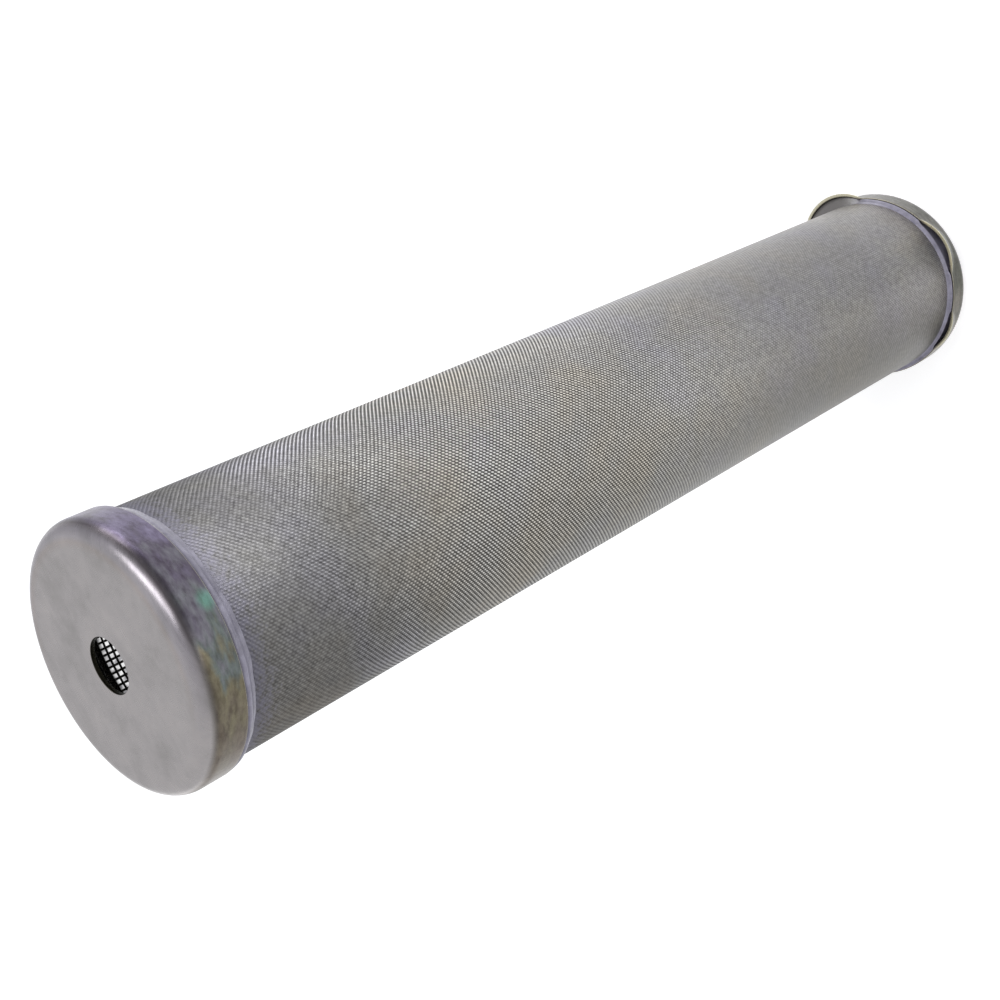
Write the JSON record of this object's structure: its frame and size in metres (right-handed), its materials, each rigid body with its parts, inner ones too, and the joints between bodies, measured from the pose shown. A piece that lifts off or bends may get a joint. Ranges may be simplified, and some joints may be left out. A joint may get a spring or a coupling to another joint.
{
  "type": "inline strainer element",
  "caption": "Round wire-cloth strainer element with a pressed steel cup potted on each end, a port in the top cup, and a blind bottom cup that it stands on.",
  "frame": {"origin": "centre of the blind cup's outer face, on the tube's axis", "axes": "+Z along the tube from the blind cup to the ported cup; +X close to the middle of the largest flare of the blind cup's skirt; the cloth's lap seam is at +Y"},
  "size_m": [0.0566, 0.0555, 0.28],
  "materials": {
    "plated_steel": "satin zinc plate with a faint passivate colour",
    "fine_wire_cloth": "fine plain-weave steel wire",
    "coarse_wire": "coarse steel wire net",
    "sealant": "cured, slightly see-through potting compound"
  },
  "bodies": {
    "root": {"ported_cup": "plated_steel", "blind_cup": "plated_steel", "filter_cloth": "fine_wire_cloth", "coarse_support": "coarse_wire", "ported_sealant": "sealant", "blind_sealant": "sealant"}
  },
  "joints": []
}
